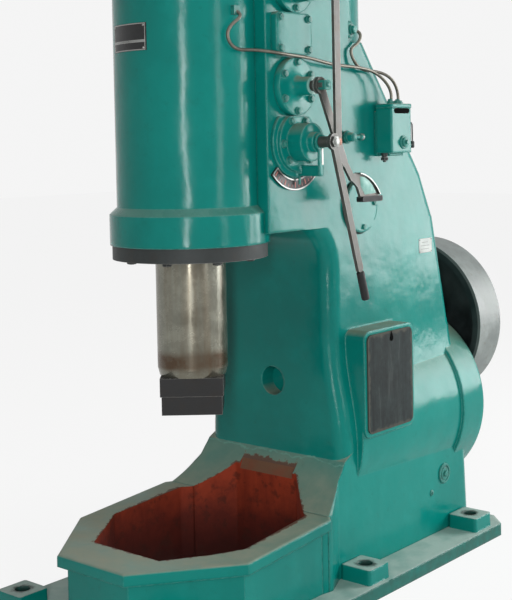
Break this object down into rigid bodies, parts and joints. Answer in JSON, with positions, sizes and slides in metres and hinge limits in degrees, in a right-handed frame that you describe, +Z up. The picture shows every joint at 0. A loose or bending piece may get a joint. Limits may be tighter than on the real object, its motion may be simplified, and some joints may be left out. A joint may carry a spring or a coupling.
{
  "type": "air forging hammer",
  "caption": "Self-contained forging hammer with a guided ram over an open anvil pit, a built-in compressor cylinder, valve levers and a drive wheel at the rear.",
  "frame": {"origin": "on the floor under the axis of the ram, at the centre of the four front anchor holes", "axes": "+X towards the side with the valves and levers, +Y towards the drive wheel, +Z up along the ram"},
  "size_m": [1.01, 2.247, 3.065],
  "materials": {
    "teal_paint": "worn satin",
    "dark_iron": "rough",
    "lever_steel": "worn",
    "ram_steel": "polished, oily",
    "wheel_paint": "worn",
    "black_paint": "gloss"
  },
  "bodies": {
    "frame": {"base_plate": "teal_paint", "anvil_surround": "teal_paint", "column": "teal_paint", "crank_housing": "teal_paint", "working_cylinder": "teal_paint", "valve_chest": "teal_paint", "compressor_cylinder": "teal_paint", "working_cylinder_cover": "teal_paint", "compressor_cover": "teal_paint", "lower_valve_cover": "teal_paint", "middle_valve_cover": "teal_paint", "upper_valve_cover": "teal_paint", "port_cover": "teal_paint", "side_disc_cover": "teal_paint", "wheel_bearing": "teal_paint", "crank_end_cap": "teal_paint", "lubricator_shelf": "teal_paint", "lubricator": "teal_paint", "lubricator_lid": "teal_paint", "oil_tap": "teal_paint", "oil_inlet": "teal_paint", "gland_ring": "dark_iron", "pad_plate_left": "dark_iron", "pad_plate_right": "dark_iron", "oil_pipe_front": "lever_steel", "oil_pipe_rear": "lever_steel", "name_plate": "black_paint", "scale_plate": "black_paint"},
    "ram": {"ram": "ram_steel", "upper_die": "dark_iron"},
    "wheel": {"drive_wheel": "wheel_paint", "wheel_shaft": "ram_steel"},
    "hand_lever_set": {"lower_valve_shaft": "lever_steel", "hand_lever": "lever_steel", "hand_grip": "black_paint", "pointer": "lever_steel"},
    "link": {"link_bar": "lever_steel"},
    "upper_valve": {"upper_valve_shaft": "lever_steel"},
    "valve_lever_set": {"middle_valve_shaft": "lever_steel", "valve_lever": "lever_steel", "grip_bar": "black_paint"}
  },
  "joints": [
    {"name": "ram_slide", "type": "slide", "parent": "frame", "child": "ram", "axis": [0, 0, 1], "range_m": [0, 0.42]},
    {"name": "wheel_spin", "type": "hinge", "parent": "frame", "child": "wheel", "pos_m": [0, 1.55, 0.89], "axis": [0, 1, 0], "continuous": true},
    {"name": "hand_lever_swing", "type": "hinge", "parent": "frame", "child": "hand_lever_set", "pos_m": [0.44, 0.242, 1.716], "axis": [1, 0, 0], "range_deg": [-20, 20]},
    {"name": "link_swing", "type": "hinge", "parent": "hand_lever_set", "child": "link", "pos_m": [0.466, 0.295, 1.716], "axis": [1, 0, 0], "range_deg": [-21, 21]},
    {"name": "upper_valve_turn", "type": "hinge", "parent": "frame", "child": "upper_valve", "pos_m": [0.44, 0.242, 2.295], "axis": [1, 0, 0], "range_deg": [-21, 21]},
    {"name": "valve_lever_swing", "type": "hinge", "parent": "frame", "child": "valve_lever_set", "pos_m": [0.43, 0.242, 1.92], "axis": [1, 0, 0], "range_deg": [-12, 12]}
  ],
  "couplings": [
    {"joint": "link_swing", "follows": "hand_lever_swing", "ratio": -1},
    {"joint": "upper_valve_turn", "follows": "hand_lever_swing", "ratio": 1}
  ]
}
